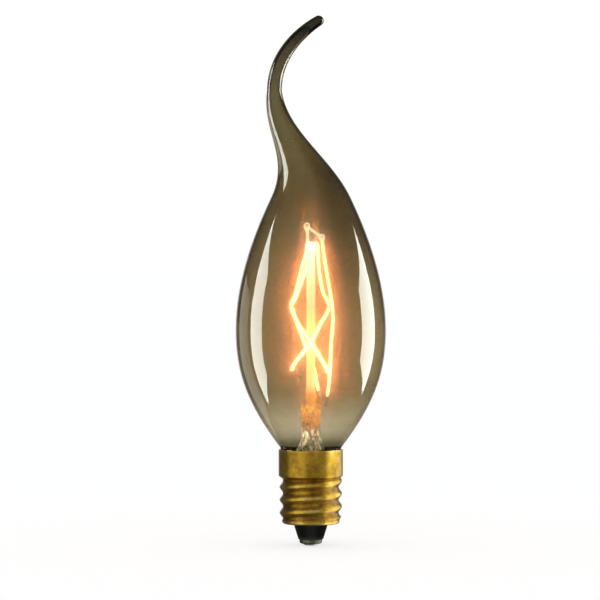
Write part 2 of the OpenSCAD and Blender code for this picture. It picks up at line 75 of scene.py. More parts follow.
# How far each end of a curve pulls it along its own direction, from the neck up to the tip
NECK_PULL = 10
BELLY_PULL = 9
CROWN_PULL = 10
SHOULDER_PULL = 9
LEAN_PULL = 9
BEND_PULL = 7
TIP_PULL = 6

# Heights of the smoky film, and where the painted shade on one side of its shoulder sets in and ends
FILM_Z = (20, 116)
SHADED_SIDE_START_Z = (50, 80)
SHADED_SIDE_END_Z = (82, 91)

# Heights where the haze on the bulb's inner face sets in, grows denser and ends
HAZE_START_Z = (24, 32)
HAZE_RISE_Z = (70, 75)
HAZE_END_Z = (78, 93)
HAZE_RISE = 0.9

# Screw cap
THREAD_R = 6.9
THREAD_DEPTH = 0.75
THREAD_PITCH = 2.82
THREAD_Z = 5.7
CREST_Z = 10.0
SHELL_WALL = 0.3
COLLAR_R = 7.1
COLLAR_Z = 15.3
COLLAR_ROUND = 0.24
SHOULDER_H = 0.85
CAP_Z = 4.75
RIM_R = 6.37
RIM_ROUND = 0.6
FOOT_HOLE_R = 3.8

# Heights where the thread grows, the rim sinks under it, and the collar swells and takes over
THREAD_GROWS_Z = (THREAD_Z - 0.5, THREAD_Z + 1.2)
RIM_SINKS_Z = (THREAD_Z - 0.25, THREAD_Z + 1.0)
RIM_SINKS = 1.5
COLLAR_SWELLS_Z = (COLLAR_Z - SHOULDER_H, COLLAR_Z + 0.1)
COLLAR_ALONE_Z = (COLLAR_Z - 0.1, COLLAR_Z + 0.5)

# How softly the cap's forms meet, and how deep each starts under the one beside it
THREAD_BLEND = 0.06
JOIN_BLEND = 0.05
HIDDEN_DEPTH = 0.1

# How far the inside face starts below the top edge and ends above the foot
EDGE_DROP = 0.02
INSIDE_DROP = 0.1
FOOT_RISE = 0.3

# Wear of the cap's brass, from 0 for brown to 1 for bright, and where the worn thread begins and ends
PLAIN_WEAR = 0.62
EDGE_WEAR = 0.3
FOLD_WEAR = 0.28
GROOVE_WEAR = 0.36
CREST_WEAR = 0.4
WORN_START_Z = (THREAD_Z - 0.6, THREAD_Z + 0.4)
WORN_END_Z = (COLLAR_Z - 0.6, COLLAR_Z)

# Heights and widths of the bright edges and the brown folds
TOP_EDGE = (CAP_TOP_Z, 0.35)
FOOT_EDGE = (CAP_Z + 0.35, 0.4)
COLLAR_FOLD = (COLLAR_Z - 0.45, 0.35)
RIM_FOLD = (THREAD_Z + 0.2, 0.3)

# Glass stem: its head's lumps, in radians a millimetre along each wave, its flare's folds, and where
# each sets in and ends
PRESS_Z = 31.4
WELD_GAP = 0.0001
STEM_GRAIN = 0.13
STEM_SMOOTHING = 6
HEAD_LUMPS = 0.2
LUMP_WAVES = np.array([[3.1, 1.2, 2.3], [-2.2, 2.9, 1.7], [1.3, -2.4, 3.4], [2.7, 0.6, -3.9]])
HEAD_Z = (24.5, 27.0)
FLARE_FOLDS = 0.11
FOLD_COUNT = 9
FOLD_SWAY = 2
SWAY_RATE = 0.8
FLARE_START_Z = (19.0, 22.0)
FLARE_END_Z = (25.0, 27.0)
SLUMP = 0.45
SLUMP_X = (1.6, 2.3)
SLUMP_Z = (29.0, PRESS_Z)

# Heights where the stem's glass turns cloudy and takes on its painted glow, and where the flare's painted
# glints end
CLOUDY_Z = (26.2, 28.5)
PAINTED_GLOW_Z = (22.5, PRESS_Z)
PAINTED_GLINTS_Z = (26.2, 25.0)

# Filament, rod and wires
ROD_TOP_Z = 66.8
ROD_R = 0.95
BUTTON_R = 1.25
FILAMENT_R = 0.34
COIL_WIRE_R = 0.065
COIL_PITCH = 0.24
ROD_GAP = 0.25
CROSSING_GAP = 0.2
SUPPORT_R = 0.14
EYE_GAP = 0.09
SOCKET_DEPTH = 0.6
ELBOW = 0.45
ELBOW_BEND = 0.12
CURL_TURN = np.radians(290)
CURL_RISE = 2.6 * SUPPORT_R
LEAD_R = 0.22
LEAD_X = 1.3
CLAMP_LEN = 1.6

# How much each hold cools the filament, how far that reaches, and how bright the painted glow on a support
# wire's curl is
EYE_CHILL = 0.4
EYE_REACH = 0.5
CLAMP_CHILL = 0.8
CLAMP_REACH = 1.7
TOP_CHILL = 0.6
TOP_CHILL_Z = (ROD_TOP_Z - 1.5, ROD_TOP_Z + 1.0)
UPPER_WIRE_PAINTED_GLOW = 1.0
OTHER_WIRE_PAINTED_GLOW = 0.12

# Fineness of the meshes
BULB_SIDES = 128
BODY_STEPS = 36
TAIL_STEPS = 60
BEAD_ROWS = 6
SHELL_SIDES = 160
OUTSIDE_ROWS = 190
INSIDE_ROWS = 120
ROUND_ROWS = 9
FOOT_ROWS = 6
COIL_STEPS = 14
COIL_SIDES = 6
CURL_STEPS = 28
SUPPORT_SIDES = 12
LEAD_SIDES = 14
CAGE_SPAN = 0.3
LEAD_SPAN = 0.15
PATH_STEP = 0.12
FLOOR_SIDES = 96

# Studio: the floor, and the softboxes' distance at their first azimuth, the height that their
# elevations start from, and their colour
WHITE = (1.0, 1.0, 1.0, 1.0)
FLOOR_RADIUS = 6000.0
FLOOR_GAP = 0.05
FLOOR_OWN_LIGHT = 0.7
SOFTBOX_DISTANCE = 500.0
SOFTBOX_HEIGHT = 55.0
SOFTBOX_COLOUR = (0.97, 1.0, 0.92)

# Camera: the width that it sees at the axis, its lens and sensor, its aim and its downward tilt
FIELD = 132.06
LENS = 180.0
SENSOR = 36.0
AIM_X = -2.38
AIM_Z = 54.0
TILT = np.radians(1.0)
NEAR_CLIP = 10.0


# Curves and surfaces

def unit(v):
    """Each vector v divided by its length."""
    return v / np.linalg.norm(v, axis=-1, keepdims=True)


def bezier(control, t):
    """(1-t)^3 a + 3t(1-t)^2 b + 3t^2(1-t) c + t^3 d, for the control points a to d and each t."""
    a, b, c, d = np.array(control, float)
    t = np.asarray(t, float)[:, None]
    return (1 - t) ** 3 * a + 3 * t * (1 - t) ** 2 * b + 3 * t ** 2 * (1 - t) * c + t ** 3 * d


def smooth_step(low, high, x):
    """3s^2 - 2s^3, where s is x taken from low..high to 0..1 and kept there."""
    s = np.clip((x - low) / (high - low), 0, 1)
    return s * s * (3 - 2 * s)


def larger(a, b, blend):
    """The larger of a and b, rounded where they meet: blend * ln(e^(a/blend) + e^(b/blend))."""
    return np.logaddexp(a / blend, b / blend) * blend


def bell(distance, reach):
    """1 where the distance is 0, and falling away on both sides: e^(-(distance / reach)^2)."""
    return np.exp(-(distance / reach) ** 2)


def around(sides):
    """Angles of a ring's points, evenly spaced through a full turn."""
    return np.linspace(0, 2 * np.pi, sides, endpoint=False)


def skin(name, rings, ring_closed=False, point_values=None):
    """Mesh over rings[i, k]: quads join ring i to ring i + 1, and each ring closes on itself.

    With ring_closed the last ring also joins the first, as on a hollow wall; otherwise a pole at
    the mean of each end ring closes it. Faces are turned so that the volume, the sum of
    a . (b x c) / 6 over its triangles, is positive. point_values holds a value per ring point.
    """
    count, sides = rings.shape[:2]
    points = rings.reshape(-1, 3)
    i, k = np.meshgrid(np.arange(count if ring_closed else count - 1), np.arange(sides), indexing="ij")
    this, following, turn = i * sides, ((i + 1) % count) * sides, (k + 1) % sides
    quads = np.stack([this + k, this + turn, following + turn, following + k], -1).reshape(-1, 4)
    fans = np.zeros((0, 3), int)
    if not ring_closed:
        points = np.vstack([points, rings[0].mean(0), rings[-1].mean(0)])
        k = np.arange(sides)
        turn = (k + 1) % sides
        first, last = count * sides, count * sides + 1
        end = (count - 1) * sides
        fans = np.vstack([np.stack([turn, k, np.full(sides, first)], -1),
                          np.stack([end + k, end + turn, np.full(sides, last)], -1)])
    triangles = np.vstack([quads[:, [0, 1, 2]], quads[:, [0, 2, 3]], fans])
    a, b, c = (points[triangles[:, corner]] for corner in range(3))
    if np.einsum("ij,ij->i", a, np.cross(b, c)).sum() < 0:
        quads, fans = quads[:, ::-1], fans[:, ::-1]
    mesh = bpy.data.meshes.new(name)
    mesh.from_pydata((points * MM).tolist(), [], quads.tolist() + fans.tolist())
    for label, values in (point_values or {}).items():
        layer = mesh.attributes.new(label, "FLOAT", "POINT")
        flat = np.zeros(len(points), np.float32)
        flat[:count * sides] = np.broadcast_to(values, (count, sides)).reshape(-1)
        layer.data.foreach_set("value", flat)
    mesh.shade_smooth()
    piece = bpy.data.objects.new(name, mesh)
    bpy.context.scene.collection.objects.link(piece)
    return piece


def smooth_route(points, span):
    """Cubic route through every point, with steps no longer than span.

    The slope at a point is (next - last) / (length after + length before), and each stretch of
    length d is the cubic with control points p, p + d * slope / 3, q - d * slope / 3, q.
    """
    points = np.array(points, float)
    steps = np.linalg.norm(np.diff(points, axis=0), axis=1)
    slopes = np.vstack([unit(points[1] - points[0]),
                        (points[2:] - points[:-2]) / (steps[1:] + steps[:-1])[:, None],
                        unit(points[-1] - points[-2])])
    route = []
    for p, q, a, b, d in zip(points[:-1], points[1:], slopes[:-1], slopes[1:], steps):
        t = np.linspace(0, 1, max(2, int(np.ceil(d / span))), endpoint=False)
        route.append(bezier([p, p + a * d / 3, q - b * d / 3, q], t))
    return np.vstack(route + [points[-1:]])


def even_steps(route, step):
    """Points spaced evenly along the route, about step apart, and the length up to each."""
    length = np.concatenate([[0], np.cumsum(np.linalg.norm(np.diff(route, axis=0), axis=1))])
    at = np.linspace(0, length[-1], int(np.ceil(length[-1] / step)) + 1)
    return np.stack([np.interp(at, length, route[:, axis]) for axis in range(3)], -1), at


def sides_along(path):
    """Two directions square to the path at each point, carried along it without twist.

    The first is the last point's n made square to the direction t, n - (n . t) t, and made unit.
    The second is t x n.
    """
    t = unit(np.gradient(path, axis=0))
    n = np.array([0.0, 1.0, 0.0]) if abs(t[0][1]) < 0.9 else np.array([0.0, 0.0, 1.0])
    side = np.zeros_like(t)
    for i, way in enumerate(t):
        n = unit(n - (n @ way) * way)
        side[i] = n
    return side, np.cross(t, side)


def tube_rings(path, radius, sides):
    """Rings path + radius (cos a n + sin a b), with n and b square to the path."""
    n, b = sides_along(path)
    a = around(sides)[None, :, None]
    radius = np.broadcast_to(radius, len(path))[:, None, None]
    return path[:, None] + radius * (np.cos(a) * n[:, None] + np.sin(a) * b[:, None])


def coil_rings(path, along, coil_r, wire_r, pitch, steps_per_turn, sides):
    """Rings of a wire wound round a path, and each ring's length along the path.

    The wire's middle is path + coil_r (cos u n + sin u b), with n and b square to the path and
    u = 2 pi * length / pitch. Each ring is its middle + wire_r (cos a outward + sin a across).
    """
    n, b = sides_along(path)
    count = int(along[-1] / pitch * steps_per_turn)
    at = np.linspace(0, along[-1], count)
    p, n, b = (np.stack([np.interp(at, along, v[:, axis]) for axis in range(3)], -1) for v in (path, n, b))
    u = 2 * np.pi * at[:, None] / pitch
    outward = unit(np.cos(u) * n + np.sin(u) * b)
    middle = p + coil_r * outward
    way = unit(np.gradient(middle, axis=0))
    outward = unit(outward - np.sum(outward * way, 1, keepdims=True) * way)
    across = np.cross(way, outward)
    a = around(sides)[None, :, None]
    return middle[:, None] + wire_r * (np.cos(a) * outward[:, None] + np.sin(a) * across[:, None]), at


# Materials

class Finish:
    """A material with one Principled shader, and short calls for the patterns that feed it."""

    def __init__(self, name, **values):
        self.material = bpy.data.materials.new(name)
        self.material.use_nodes = True
        self.nodes = self.material.node_tree.nodes
        self.links = self.material.node_tree.links
        self.shader = self.nodes["Principled BSDF"]
        self.output = self.nodes["Material Output"]
        for socket, value in values.items():
            self.shader.inputs[socket.replace("_", " ")].default_value = value

    def add(self, kind, settings=None, **inputs):
        """New node of a kind, with its settings, and with values or links for its inputs.

        An input goes by its name, or by its number after an underscore.
        """
        node = self.nodes.new(kind)
        for label, value in (settings or {}).items():
            setattr(node, label, value)
        for label, value in inputs.items():
            number = label[1:]
            socket = node.inputs[int(number) if number.isdigit() else label.replace("_", " ")]
            if isinstance(value, bpy.types.NodeSocket):
                self.links.new(value, socket)
            else:
                socket.default_value = value
        return node

    def noise(self, scale, stretch=(1, 1, 1), detail=4, roughness=0.55):
        """Noise in the object's own metres, with scale cells a metre along each stretched axis."""
        place = self.add("ShaderNodeTexCoord").outputs["Object"]
        place = self.add("ShaderNodeMapping", Vector=place, Scale=stretch).outputs["Vector"]
        return self.add("ShaderNodeTexNoise", Vector=place, Scale=scale, Detail=detail,
                        Roughness=roughness).outputs["Fac"]

    def attribute(self, label):
        """Value stored on the piece's points under this name."""
        return self.add("ShaderNodeAttribute", {"attribute_name": label}).outputs["Fac"]

    def maths(self, operation, a, b=0.0, c=0.0):
        """a operation b, on numbers or sockets."""
        return self.add("ShaderNodeMath", {"operation": operation}, _0=a, _1=b, _2=c).outputs[0]

    def spread(self, value, low, high, to_low=0.0, to_high=1.0):
        """Value taken from low..high to to_low..to_high and kept there."""
        node = self.add("ShaderNodeMapRange", Value=value, From_Min=low, From_Max=high,
                        To_Min=to_low, To_Max=to_high)
        return node.outputs["Result"]

    def by_height(self, low, high, to_low=0.0, to_high=1.0):
        """Value that goes from to_low to to_high as the height goes from low to high."""
        place = self.add("ShaderNodeTexCoord").outputs["Object"]
        height = self.add("ShaderNodeSeparateXYZ", Vector=place).outputs["Z"]
        return self.spread(height, low * MM, high * MM, to_low, to_high)

    def ramp(self, value, stops):
        """Colour at each stop, blended between them."""
        node = self.add("ShaderNodeValToRGB", Fac=value)
        points = node.color_ramp.elements
        while len(points) < len(stops):
            points.new(1.0)
        for point, (at, colour) in zip(points, stops):
            point.position = at
            point.color = (*colour, 1)
        return node.outputs["Color"]

    def mix(self, share, a, b, blend="MIX"):
        """Colour a moved towards b by share, or joined with it by another blend."""
        a, b = (colour if isinstance(colour, bpy.types.NodeSocket) else (*colour, 1) for colour in (a, b))
        node = self.add("ShaderNodeMix", {"data_type": "RGBA", "blend_type": blend}, _0=share, _6=a, _7=b)
        return node.outputs[2]

    def feed(self, socket, value):
        """Connects a pattern to one of the shader's sockets."""
        self.links.new(value, self.shader.inputs[socket])

    def bump(self, pattern, height, strength=1.0):
        """Raises the surface by the pattern times height."""
        node = self.add("ShaderNodeBump", Height=pattern, Distance=height * MM, Strength=strength)
        self.feed("Normal", node.outputs["Normal"])

    def clear_to_shadows(self, tint):
        """Lets lamp light through the glass in its shadows, tinted."""
        shadow = self.add("ShaderNodeLightPath").outputs["Is Shadow Ray"]
        clear = self.add("ShaderNodeBsdfTransparent", Color=(*tint, 1)).outputs["BSDF"]
        mixed = self.add("ShaderNodeMixShader", _0=shadow, _1=self.shader.outputs["BSDF"], _2=clear)
        self.links.new(mixed.outputs["Shader"], self.output.inputs["Surface"])

    def absorb(self, colour, density):
        """Light lost inside the glass: e^(-density (1 - colour) length), per metre."""
        volume = self.add("ShaderNodeVolumeAbsorption", Color=(*colour, 1), Density=density)
        self.links.new(volume.outputs["Volume"], self.output.inputs["Volume"])


def smoky_glass():
    """Clear glass under a smoky brown film.

    The film is dark at the very foot, and a clear band just above it is a painted pale reflection. It
    thickens up the tail, and one side of the shoulder is darkened by painted shade. The inner face has
    fine grains of haze, which blur what is behind them.
    """
    finish = Finish("smoked_bulb_glass", Transmission_Weight=1.0, IOR=1.5, Roughness=0.0)
    # painted reflection: the film's clear band just above its dark foot, stops 0.04 to 0.085, stands in
    # for a pale reflection round the neck
    smoke = finish.ramp(finish.by_height(*FILM_Z), [
        (0.022, (0.42, 0.42, 0.31)), (0.04, (0.86, 0.84, 0.75)), (0.06, (1.0, 0.98, 0.91)),
        (0.085, (1.0, 0.95, 0.87)), (0.105, (0.85, 0.84, 0.74)), (0.145, (0.68, 0.64, 0.525)),
        (0.44, (0.613, 0.573, 0.462)), (0.57, (0.49, 0.446, 0.327)), (0.7, (0.495, 0.457, 0.304)),
        (0.83, (0.473, 0.446, 0.327)), (0.93, (0.31, 0.29, 0.21)), (0.985, (0.06, 0.055, 0.035))])
    streaks = finish.noise(260, (1, 1, 0.12), detail=3)
    streaky = finish.ramp(streaks, [(0.3, (0.93, 0.92, 0.89)), (0.7, (1.0, 1.0, 1.0))])
    # painted shade: one side of the shoulder, towards +X, is darkened towards (0.14, 0.12, 0.068) as if in
    # shade
    shoulder = finish.maths("MULTIPLY", finish.by_height(*SHADED_SIDE_START_Z),
                            finish.by_height(*SHADED_SIDE_END_Z, 1.0, 0.0))
    painted_shade = finish.maths("MULTIPLY", shoulder, finish.spread(finish.attribute("side"), 0.1, 0.9))
    toned = finish.mix(1.0, smoke, streaky, "MULTIPLY")
    finish.feed("Base Color", finish.mix(painted_shade, toned, (0.14, 0.12, 0.068)))
    grain = finish.noise(14000, detail=1)
    grainy = finish.maths("POWER", finish.spread(grain, 0.42, 0.655), 1.5)
    haze = finish.maths("MULTIPLY", grainy, finish.attribute("haze"))
    finish.feed("Roughness", finish.maths("MULTIPLY", haze, 0.78))
    finish.bump(finish.noise(90, (1, 1, 0.25), detail=2), 0.04)
    finish.clear_to_shadows((0.8, 0.76, 0.68))
    finish.absorb((0.385, 0.285, 0.0), 860)
    return finish.material


def aged_brass():
    """Thin brass sheet, brown in the thread's grooves, brighter on its crests and edges."""
    finish = Finish("tarnished_brass", Metallic=1.0, Coat_Weight=0.45, Coat_Roughness=0.3)
    worn = finish.attribute("worn")
    blotch = finish.noise(900, detail=5)
    stained = finish.noise(240, (1, 1, 0.7), detail=3)
    level = finish.maths("ADD", worn, finish.spread(blotch, 0.3, 0.7, -0.12, 0.12))
    level = finish.maths("ADD", level, finish.spread(stained, 0.35, 0.65, -0.2, 0.14))
    tone = finish.ramp(level, [(0.0, (0.07, 0.024, 0.0)), (0.35, (0.29, 0.14, 0.003)),
                               (0.65, (0.56, 0.335, 0.018)), (1.0, (0.86, 0.65, 0.22))])
    stain = finish.spread(finish.noise(2600, detail=3), 0.6, 0.75)
    stained_share = finish.maths("MULTIPLY", stain, 0.35)
    finish.feed("Base Color", finish.mix(stained_share, tone, (0.18, 0.1, 0.006)))
    finish.feed("Roughness", finish.spread(level, 0.1, 1.0, 0.4, 0.24))
    finish.bump(finish.noise(3200, (1, 1, 0.3), detail=3), 0.02, 0.6)
    return finish.material


def black_glass():
    """Black pressed glass, glossy, with fine pits and a paler, mottled greenish-grey lower edge."""
    finish = Finish("pressed_black_glass", IOR=1.5, Specular_IOR_Level=0.35)
    mottle = finish.noise(1600, detail=5)
    # paler, greenish grey towards the lower edge
    paler_foot = finish.by_height(1.1, 2.1, 0.5, 0.0)
    share = finish.maths("MULTIPLY", paler_foot, finish.spread(mottle, 0.3, 0.6, 0.5, 1.0))
    finish.feed("Base Color", finish.mix(share, (0.002, 0.002, 0.0015), (0.07, 0.075, 0.05)))
    finish.feed("Roughness", finish.spread(mottle, 0.3, 0.7, 0.12, 0.3))
    finish.bump(finish.noise(2400, detail=2), 0.02, 0.5)
    return finish.material


def dull_metal(name, dark, light, rough, metallic=1.0, **values):
    """Metal between two tones in fine blotches, with its shine broken up by the same pattern."""
    finish = Finish(name, Metallic=metallic, **values)
    blotch = finish.noise(1800)
    finish.feed("Base Color", finish.ramp(blotch, [(0.3, dark), (0.7, light)]))
    finish.feed("Roughness", finish.spread(blotch, 0.3, 0.7, rough + 0.1, rough - 0.1))
    finish.bump(blotch, 0.02, 0.4)
    return finish


def cement():
    """Matt, grainy capping cement."""
    finish = Finish("grainy_cement", Roughness=0.9)
    grain = finish.noise(4000, detail=5)
    finish.feed("Base Color", finish.ramp(grain, [(0.3, (0.32, 0.25, 0.16)), (0.7, (0.56, 0.47, 0.33))]))
    finish.bump(grain, 0.05, 0.6)
    return finish.material


def stem_glass():
    """Clear, lumpy glass whose pinched head is cloudy and holds a painted glow for the filament's light.

    The painted glow is orange, dimmer down the head and, as painted shade, in its creases, and
    broken by dark veins. The creases are also tinted darker as painted shade. The folds of the flare
    have painted glints.
    """
    finish = Finish("lumpy_stem_glass", Transmission_Weight=1.0, IOR=1.5, Roughness=0.0,
                    Emission_Strength=1.0)
    lumps = finish.noise(900, (1, 1, 0.7), detail=2)
    ridge = finish.attribute("ridge")
    # painted shade: the glass is tinted darker where the ridge value falls, in the creases
    finish.feed("Base Color", finish.ramp(ridge, [(0.0, (0.75, 0.66, 0.5)), (0.8, (1.0, 0.99, 0.96))]))
    milky = finish.spread(lumps, 0.35, 0.6, 0.1, 0.4)
    cloudy = finish.maths("MULTIPLY", finish.by_height(*CLOUDY_Z), milky)
    finish.feed("Transmission Weight", finish.maths("SUBTRACT", 1.0, cloudy))
    # painted glow: orange emission standing in for the filament's light piped down the glass
    lit = finish.ramp(finish.by_height(*PAINTED_GLOW_Z), [
        (0.0, (0.0, 0.0, 0.0)), (0.35, (0.1, 0.045, 0.008)), (0.65, (0.6, 0.24, 0.03)),
        (1.0, (2.2, 1.05, 0.15))])
    grain = finish.noise(1500, (1, 0.15, 0.8), detail=2)
    veins = finish.ramp(grain, [(0.45, (0.04, 0.03, 0.02)), (0.54, (1.0, 1.0, 1.0))])
    # painted shade: the painted glow is dimmer in the creases
    creases = finish.ramp(ridge, [(0.1, (0.42, 0.3, 0.2)), (0.8, (1.0, 1.0, 1.0))])
    folds = finish.spread(finish.noise(1250, (1, 1, 0.45), detail=1), 0.56, 0.64)
    # painted glints: pale emission on the flare's folds standing in for caught highlights
    glints = finish.maths("MULTIPLY", folds, finish.by_height(*PAINTED_GLINTS_Z))
    glow = finish.mix(1.0, finish.mix(1.0, lit, veins, "MULTIPLY"), creases, "MULTIPLY")
    finish.feed("Emission Color", finish.mix(glints, glow, (0.75, 0.72, 0.6)))
    finish.bump(lumps, 1.2)
    finish.clear_to_shadows((0.95, 0.93, 0.88))
    return finish.material


def tube_glass():
    """Clear drawn glass tube with faint lines along it."""
    finish = Finish("drawn_tube_glass", Transmission_Weight=1.0, IOR=1.5, Roughness=0.0)
    lines = finish.noise(700, (1, 1, 0.15), detail=3)
    finish.feed("Base Color", finish.ramp(lines, [(0.3, (0.92, 0.91, 0.88)), (0.7, (1.0, 0.99, 0.96))]))
    finish.bump(lines, 0.1)
    finish.clear_to_shadows((0.95, 0.93, 0.88))
    return finish.material


def support_wire_metal():
    """Dull grey wire with a painted glow where it holds the filament, standing in for the filament's light
    on it.
    """
    finish = dull_metal("support_wire_metal", (0.35, 0.31, 0.26), (0.6, 0.55, 0.46), 0.5, 0.6,
                        Emission_Strength=4.2)
    warmth = finish.attribute("warmth")
    finish.feed("Emission Color", finish.ramp(warmth, [(0.0, (0.0, 0.0, 0.0)), (1.0, (1.0, 0.9, 0.8))]))
    return finish.material


def lit_glass():
    """Glass rod with a painted glow standing in for the filament's light: orange at its foot, yellow
    above, pale at its top.
    """
    finish = Finish("painted_glow_rod_glass", Roughness=0.12, IOR=1.5, Emission_Strength=2.2)
    glow = finish.ramp(finish.by_height(PRESS_Z, ROD_TOP_Z), [
        (0.0, (0.42, 0.14, 0.02)), (0.06, (0.8, 0.33, 0.07)), (0.115, (1.0, 1.0, 0.66)),
        (0.5, (1.0, 1.0, 0.6)), (0.75, (1.0, 1.15, 1.2)), (1.0, (0.9, 1.4, 3.0))])
    lines = finish.noise(900, (1, 1, 0.1), detail=3)
    lined = finish.mix(finish.spread(lines, 0.35, 0.65), glow, (1.0, 0.9, 0.6), "MULTIPLY")
    finish.feed("Emission Color", lined)
    finish.feed("Base Color", finish.ramp(lines, [(0.3, (0.5, 0.4, 0.2)), (0.7, (0.7, 0.6, 0.35))]))
    return finish.material


def glowing_filament():
    """Dark coil, dull orange where it is held and so bright between its holds that it looks white."""
    finish = Finish("white_hot_coil", Base_Color=(0.05, 0.04, 0.035, 1), Roughness=0.6,
                    Emission_Strength=42.0)
    glow = finish.ramp(finish.attribute("warmth"), [
        (0.0, (0.03, 0.007, 0.001)), (0.45, (0.125, 0.105, 0.08)), (1.0, (1.0, 0.3, 0.12))])
    finish.feed("Emission Color", glow)
    return finish.material


# Glass bulb with its drawn tail

def bulb_line(body_steps, tail_steps):
    """Middle line [x, z], outer radius, wall and ring direction from the neck's end to the tip.

    The body and the leaning tail are cubic curves of radius against height with level rings. From
    the outermost bend on, the rings are square to the hook's own cubic curve. Where two curves
    meet, the middle line keeps its direction, and at the belly and the shoulder the radius keeps
    its slope. The wall thins evenly along the leaning tail.
    """
    shoulder_pull_r = SHOULDER_PULL * SHOULDER_SLOPE
    neck = [[NECK_R, CAP_TOP_Z], [NECK_R + NECK_PULL * NECK_SLOPE, CAP_TOP_Z + NECK_PULL],
            [BULB_R, BELLY_Z - BELLY_PULL], [BULB_R, BELLY_Z]]
    crown = [[BULB_R, BELLY_Z], [BULB_R, BELLY_Z + CROWN_PULL],
             [SHOULDER_R + shoulder_pull_r, SHOULDER_Z - SHOULDER_PULL], [SHOULDER_R, SHOULDER_Z]]
    lean = [[0, SHOULDER_Z, SHOULDER_R], [0, SHOULDER_Z + SHOULDER_PULL, SHOULDER_R - shoulder_pull_r],
            [-TAIL_LEAN, BEND_Z - LEAN_PULL, BELOW_BEND_R], [-TAIL_LEAN, BEND_Z, TAIL_R]]
    hook = [[-TAIL_LEAN, BEND_Z, TAIL_R], [-TAIL_LEAN, BEND_Z + BEND_PULL, ABOVE_BEND_R],
            [TIP_X - TIP_PULL * np.cos(HOOK_ANGLE), TIP_Z - TIP_PULL * np.sin(HOOK_ANGLE), BEFORE_TIP_R],
            [TIP_X, TIP_Z, TIP_R]]
    t = np.linspace(0, 1, body_steps + 1)
    s = np.linspace(0, 1, tail_steps + 1)
    body = np.vstack([[[NECK_R, NECK_END_Z + GLASS_WALL]], bezier(neck, t), bezier(crown, t)[1:]])
    body = np.column_stack([np.zeros(len(body)), body[:, 1], body[:, 0]])
    tail = bezier(lean, s)[1:]
    end = bezier(hook, s)[1:]
    line = np.vstack([body, tail, end])
    wall = np.concatenate([np.full(len(body), GLASS_WALL), GLASS_WALL + (TAIL_WALL - GLASS_WALL) * s[1:],
                           np.full(len(end), TAIL_WALL)])
    way = unit(np.gradient(line[:, :2], axis=0))
    way[:len(body) + len(tail)] = [0, 1]
    way[-1] = [np.cos(HOOK_ANGLE), np.sin(HOOK_ANGLE)]
    return line, wall, way


def turned_rings(line, radius, way, sides):
    """Rings centre + radius (cos a (way_z, 0, -way_x) + sin a (0, 1, 0))."""
    a = around(sides)[None, :, None]
    centre = np.column_stack([line[:, 0], np.zeros(len(line)), line[:, 1]])[:, None]
    across = np.column_stack([way[:, 1], np.zeros(len(line)), -way[:, 0]])[:, None]
    return centre + radius[:, None, None] * (np.cos(a) * across + np.sin(a) * np.array([0.0, 1.0, 0.0]))


def glass_bulb():
    """Closed glass wall with a sealed bead at its tip.

    It runs down the inner surface, round the neck's end and up the outer surface to a half-round
    bead, tip + r (sin g ahead, cos g across). The bore's end is rounded off: its radius is
    multiplied by sqrt(1 - (1 - s)^2), with s its distance from the plug over BORE_END. haze is the
    density of the grains on the inner face, and side is 1 towards +X and -1 towards -X.
    """
    line, wall, way = bulb_line(BODY_STEPS, TAIL_STEPS)
    tip = line[-1, :2]
    to_tip = np.linalg.norm(line[:, :2] - tip, axis=1) - TIP_PLUG
    to_tip[line[:, 1] < BEND_Z] = BORE_END
    hollow = to_tip > 0
    bore = (line[:, 2] - wall) * np.sqrt(1 - (1 - np.clip(to_tip / BORE_END, 0, 1)) ** 2)
    inner = turned_rings(line[hollow], bore[hollow], way[hollow], BULB_SIDES)[::-1]
    outer = turned_rings(line, line[:, 2], way, BULB_SIDES)
    g = np.radians(np.linspace(*BEAD_ANGLES, BEAD_ROWS))
    bead = np.column_stack([tip + TIP_R * np.sin(g)[:, None] * way[-1], TIP_R * np.cos(g)])
    cap = turned_rings(bead, bead[:, 2], np.tile(way[-1], (BEAD_ROWS, 1)), BULB_SIDES)
    haze = np.zeros((len(inner) + len(outer) + len(cap), 1))
    height = inner[:, :, 2].mean(1, keepdims=True)
    density = smooth_step(*HAZE_START_Z, height) * (1 + HAZE_RISE * smooth_step(*HAZE_RISE_Z, height))
    haze[:len(inner)] = density * (1 - smooth_step(*HAZE_END_Z, height))
    side = np.cos(around(BULB_SIDES))[None, :]
    return skin("glass_bulb", np.vstack([inner, outer, cap]), False, {"haze": haze, "side": side})


# Screw cap's shell

def shell_radius(angle, z):
    """Outer radius of the shell: the larger of its rim, thread and collar, rounded where they meet.

    The thread is a round bar of radius R whose middle stands e off the axis and circles it once a
    pitch: r = e cos d + sqrt(R^2 - e^2 sin^2 d), with d the angle from the crest. It grows out of
    the rim below, and the collar swells from HIDDEN_DEPTH under the thread's root to its full
    radius.
    """
    e = THREAD_DEPTH / 2
    d = angle - np.pi - 2 * np.pi * (z - CREST_Z) / THREAD_PITCH
    bar = THREAD_R - e
    thread = e * np.cos(d) + np.sqrt(bar ** 2 - (e * np.sin(d)) ** 2)
    growth = (THREAD_R - RIM_R + 2 * HIDDEN_DEPTH) * smooth_step(*THREAD_GROWS_Z, z)
    thread = -larger(-thread, -(RIM_R - HIDDEN_DEPTH + growth), THREAD_BLEND)
    rim = RIM_R - RIM_SINKS * smooth_step(*RIM_SINKS_Z, z)
    root = THREAD_R - THREAD_DEPTH
    swell = (COLLAR_R - root + HIDDEN_DEPTH) * smooth_step(*COLLAR_SWELLS_Z, z)
    lower = larger(larger(thread, rim, JOIN_BLEND), root - HIDDEN_DEPTH + swell, JOIN_BLEND)
    return lower + (COLLAR_R - lower) * smooth_step(*COLLAR_ALONE_Z, z)


